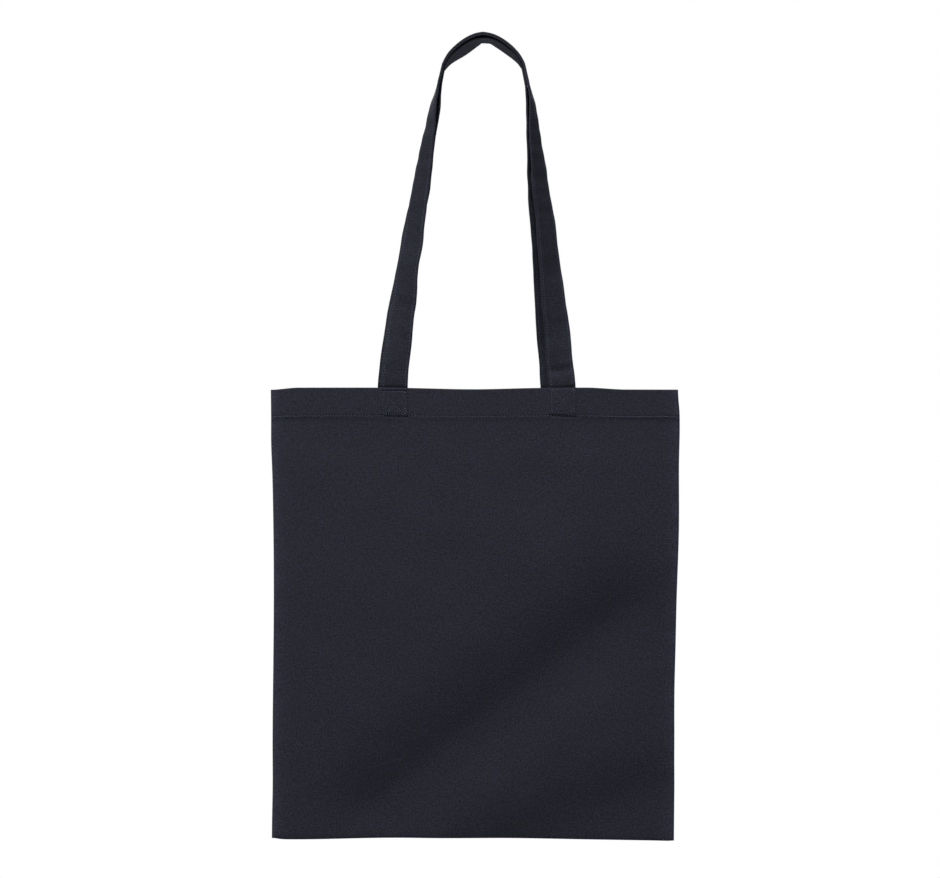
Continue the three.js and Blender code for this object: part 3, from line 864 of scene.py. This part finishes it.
def cloth_material(name, colour, thread_pitch, edge=None, edge_highlight=0.0, edge_highlight_width=0.004, mottled=0.15):
    """Plain-weave cotton: threads over and under, slubs along both directions, heathered colour and lint.

    edge gives the distance to the piece's outer edges, where the tone is lifted: a painted highlight that stands
    in for the light catching the rims.
    """
    n = Nodes(name)
    uv = n.add("UVMap", uv_map="weave").outputs[0]
    wander = n.noise(uv, 90, 2.0)
    shift = n.math("MULTIPLY", n.math("SUBTRACT", wander, 0.5), 0.0012)
    moved = n.add("VectorMath", {0: uv, 1: shift}, operation="ADD").outputs[0]
    parts = n.add("SeparateXYZ", {0: moved})
    x = n.math("MULTIPLY", parts.outputs[0], 1 / thread_pitch)
    z = n.math("MULTIPLY", parts.outputs[1], 1 / thread_pitch)
    warp_round = n.math("ABSOLUTE", n.math("SINE", n.math("MULTIPLY", x, math.pi)))
    weft_round = n.math("ABSOLUTE", n.math("SINE", n.math("MULTIPLY", z, math.pi)))
    turn = n.math("MULTIPLY", n.math("FLOOR", x), math.pi)
    turn_weft = n.math("MULTIPLY", n.math("ADD", n.math("FLOOR", z), 1.0), math.pi)
    warp_over = n.math("SINE", n.math("ADD", n.math("MULTIPLY", z, math.pi), turn))
    weft_over = n.math("SINE", n.math("ADD", n.math("MULTIPLY", x, math.pi), turn_weft))
    warp = n.math("MULTIPLY", warp_round, n.math("MULTIPLY_ADD", warp_over, 0.4, 0.6))
    weft = n.math("MULTIPLY", weft_round, n.math("MULTIPLY_ADD", weft_over, 0.4, 0.6))
    weave = n.math("MAXIMUM", warp, weft)
    slub_warp = n.noise(n.stretched(uv, 1500, 180), 1.0, 1.0)
    slub_weft = n.noise(n.stretched(uv, 180, 1500, 7.0), 1.0, 1.0)
    slubs = n.math("MULTIPLY", n.math("ADD", slub_warp, slub_weft), 0.5)
    heather = n.noise(uv, 1300, 2.0, 0.6)
    flecks = n.noise(uv, 620, 1.0, 0.5)
    cloudy = n.noise(uv, 22, 3.0)
    # darker where the weave is low, between threads and where a thread dips under: painted shade of the weave's
    # hollows, on top of the bump
    tone = n.math("MULTIPLY_ADD", weave, 0.30, 0.72)
    tone = n.math("MULTIPLY", tone, n.math("MULTIPLY_ADD", slubs, 1.6, 0.20))
    tone = n.math("MULTIPLY", tone, n.math("MULTIPLY_ADD", heather, 1.4, 0.30))
    tone = n.math("MULTIPLY", tone, n.math("MULTIPLY_ADD", flecks, 1.8, 0.10))
    tone = n.math("MULTIPLY", tone, n.math("MULTIPLY_ADD", cloudy, 0.20, 0.90))
    patches = n.noise(uv, 110, 3.0, 0.6)
    tone = n.math("MULTIPLY", tone, n.math("MULTIPLY_ADD", patches, mottled, 1 - mottled / 2))
    # painted highlight: the tone rises towards the outer edges, in place of light catching the rims
    if edge:
        fading = n.math("EXPONENT", n.math("MULTIPLY", edge(n, uv), -1 / edge_highlight_width))
        tone = n.math("MULTIPLY", tone, n.math("MULTIPLY_ADD", fading, edge_highlight, 1.0))
    tinted = n.add("VectorMath", {0: colour, 3: tone}, operation="SCALE").outputs[0]
    lint = n.add("TexVoronoi", {"Vector": uv, "Scale": 130, "Randomness": 1.0}, feature="F1")
    speck = n.math("LESS_THAN", lint.outputs["Distance"], 0.05)
    chance = n.math("GREATER_THAN", n.add("SeparateXYZ", {0: lint.outputs["Color"]}).outputs[0], 0.97)
    lint_on = n.math("MULTIPLY", n.math("MULTIPLY", speck, chance), 0.25)
    lighter = n.add("Mix", {0: lint_on, 6: tinted, 7: (0.16, 0.165, 0.18, 1)}, data_type="RGBA").outputs[2]
    fuzz = n.noise(uv, 2600, 2.0)
    height = n.math("ADD", weave, n.math("MULTIPLY", n.math("ADD", slubs, fuzz), 0.7))
    bump = n.add("Bump", {"Height": height, "Strength": 0.40, "Distance": 0.00012})
    creases = n.noise(uv, 160, 3.0, 0.6)
    soft = n.add("Bump", {"Height": creases, "Strength": 0.35, "Distance": 0.0004, "Normal": bump.outputs[0]})
    roughness = n.math("MULTIPLY_ADD", heather, 0.16, 0.80)
    shader = n.add("BsdfPrincipled", {
        "Base Color": lighter, "Roughness": roughness, "Normal": soft.outputs[0],
        "Specular IOR Level": 0.25, "Sheen Weight": 0.10, "Sheen Roughness": 0.35,
        "Sheen Tint": (0.55, 0.58, 0.68, 1),
    })
    n.add("OutputMaterial", {"Surface": shader.outputs[0]})
    return n.material


def thread_material(name, colour):
    """Twisted sewing thread: fine diagonal plies and a soft sheen."""
    n = Nodes(name)
    uv = n.add("UVMap", uv_map="weave").outputs[0]
    parts = n.add("SeparateXYZ", {0: uv})
    ply_along = n.math("MULTIPLY", parts.outputs[0], 9000)
    ply = n.math("ADD", ply_along, n.math("MULTIPLY", parts.outputs[1], 9500))
    ridge = n.math("ABSOLUTE", n.math("SINE", ply))
    patch = n.noise(n.add("NewGeometry").outputs["Position"], 400, 2.0)
    # darker in the grooves between the plies: painted shade, on top of the bump
    ridge_tone = n.math("MULTIPLY_ADD", ridge, 0.35, 0.75)
    tone = n.math("MULTIPLY", ridge_tone, n.math("MULTIPLY_ADD", patch, 0.8, 0.6))
    tinted = n.add("VectorMath", {0: colour, 3: tone}, operation="SCALE").outputs[0]
    bump = n.add("Bump", {"Height": ridge, "Strength": 0.5, "Distance": 0.00008})
    shader = n.add("BsdfPrincipled", {
        "Base Color": tinted, "Roughness": 0.55, "Normal": bump.outputs[0], "Specular IOR Level": 0.4,
        "Sheen Weight": 0.1, "Sheen Roughness": 0.4,
    })
    n.add("OutputMaterial", {"Surface": shader.outputs[0]})
    return n.material


# ---- floor, lights and camera ----

def floor():
    size = FLOOR_HALF_SIZE
    z = -HOOK_HEIGHT
    corners = [(-size, -size, z), (size, -size, z), (size, size, z), (-size, size, z)]
    n = Nodes("floor")
    shader = n.add("BsdfPrincipled", {"Base Color": (0.80, 0.80, 0.80, 1), "Roughness": 0.8})
    n.add("OutputMaterial", {"Surface": shader.outputs[0]})
    piece = mesh_object("floor", corners, [(0, 1, 2, 3)], n.material)


def area_light(name, place, target, size, power):
    """A lamp that lights the bag but isn't seen itself; power is in watts."""
    data = bpy.data.lights.new(name, "AREA")
    data.shape = "RECTANGLE"
    data.size, data.size_y = size
    data.energy = power
    light = bpy.data.objects.new(name, data)
    light.location = place
    light.visible_camera = False
    light.rotation_euler = (Vector(target) - Vector(place)).to_track_quat("-Z", "Y").to_euler()
    bpy.context.scene.collection.objects.link(light)


def lights():
    middle = (CENTRE_X, 0, TOP - 0.1)
    area_light("key_left", (-0.92, -1.72, 2.62), middle, (1.0, 1.0), 140)
    area_light("key_right", (1.07, -1.66, 2.60), middle, (1.0, 1.0), 36)
    area_light("back", (0, 1.7, 1.9), middle, (1.0, 0.8), 75)
    # a small lamp hidden behind the bag, for the underside of the arch
    area_light("bounce", (0.03, 0.28, BOTTOM + 0.06), (0.01, 0, 0), (0.30, 0.20), 2.1)
    studio_world()


def studio_world():
    """White where the camera sees it, and a much weaker light from all sides."""
    world = bpy.data.worlds.new("studio")
    bpy.context.scene.world = world
    world.use_nodes = True
    tree = world.node_tree
    tree.nodes.clear()
    path = tree.nodes.new("ShaderNodeLightPath")
    seen = tree.nodes.new("ShaderNodeBackground")
    seen.inputs["Color"].default_value = (1, 1, 1, 1)
    soft = tree.nodes.new("ShaderNodeBackground")
    soft.inputs["Color"].default_value = (0.97, 0.97, 1.0, 1)
    soft.inputs["Strength"].default_value = 0.10
    mix = tree.nodes.new("ShaderNodeMixShader")
    out = tree.nodes.new("ShaderNodeOutputWorld")
    tree.links.new(path.outputs["Is Camera Ray"], mix.inputs[0])
    tree.links.new(soft.outputs[0], mix.inputs[1])
    tree.links.new(seen.outputs[0], mix.inputs[2])
    tree.links.new(mix.outputs[0], out.inputs[0])


def camera():
    data = bpy.data.cameras.new("camera")
    data.sensor_width = 36
    data.lens = data.sensor_width * CAMERA_DISTANCE / VIEW_WIDTH
    data.clip_end = 20
    obj = bpy.data.objects.new("camera", data)
    obj.location = (VIEW_CENTRE_X, -MOUTH_DEPTH - CAMERA_DISTANCE, VIEW_CENTRE_Z)
    obj.rotation_euler = (math.pi / 2, 0, 0)
    bpy.context.scene.collection.objects.link(obj)
    bpy.context.scene.camera = obj


# ---- build ----

def blend_with_mouth(piece, anchors):
    """Sets the piece's points to its anchors, bakes its transform and puts its own points back.

    anchors are its points on the plain panel; its own points are put back afterwards.
    """
    mesh = piece.data
    final = np.zeros(len(mesh.vertices) * 3, np.float32)
    mesh.vertices.foreach_get("co", final)
    mesh.vertices.foreach_set("co", np.asarray(anchors, np.float32).ravel())
    mesh.update()
    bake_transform(piece)
    mesh.vertices.foreach_set("co", final)
    mesh.update()


def blend_with_handle(piece):
    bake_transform(piece)


def finish_stitches(name, stitched, node):
    piece, anchors = stitched
    if name == "front":
        blend_with_mouth(piece, anchors)
    else:
        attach(piece, "bag")
    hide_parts(node)


def build_panels(canvas, thread):
    for name in ("front", "back"):
        piece, anchors = panel(name, canvas)
        if name == "front":
            blend_with_mouth(piece, anchors)
        else:
            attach(piece, "bag")
        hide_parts(f"{name}_panel", f"{name}_hem")
        finish_stitches(name, hem_stitches(name, thread), f"{name}_hem_stitching")
        for leg in ("left", "right"):
            finish_stitches(name, box_stitches(name, leg, thread), f"{name}_{leg}_box_stitching")


def build_straps(canvas, thread):
    for name in ("front", "back"):
        piece = strap(name, canvas)
        blend_with_handle(piece)
        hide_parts(f"{name}_handle", f"{name}_handle_left_end", f"{name}_handle_right_end")
        for edge, word in ((-1, "inner"), (1, "outer")):
            sewn = strap_stitches(name, edge, thread)
            blend_with_handle(sewn)
            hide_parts(f"{name}_handle_{word}_stitching")


def build_seams(canvas, thread):
    for seam in ("left", "right", "bottom"):
        node = "bottom" if seam == "bottom" else f"{seam}_side"
        layers = seam_layers(seam, canvas)
        loops = overlock(seam, thread)
        for piece, part, slot in ((layers, "seam", "seam_canvas"), (loops, "overlock", "overlock_thread")):
            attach(piece, "bag")
            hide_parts(f"{node}_{part}")


# the two numbers after panel_edge and strap_edge: strength and width of the painted edge highlight
canvas = cloth_material("charcoal_canvas", (0.0198, 0.0206, 0.0334), 0.00055, panel_edge, 0.80, 0.005)
strap_canvas = cloth_material("strap_canvas", (0.0176, 0.0190, 0.0297), 0.00055, strap_edge,
                              0.50, 0.0018, 0.55)
seam_canvas = cloth_material("raw_edge_canvas", (0.0185, 0.0192, 0.0308), 0.00055)
thread = thread_material("sewing_thread", (0.066, 0.075, 0.118))
overlock_thread = thread_material("overlock_thread", (0.040, 0.040, 0.055))
camera()
floor()
lights()
build_panels(canvas, thread)
build_straps(strap_canvas, thread)
build_seams(seam_canvas, overlock_thread)

bpy.context.scene.view_settings.view_transform = "Standard"
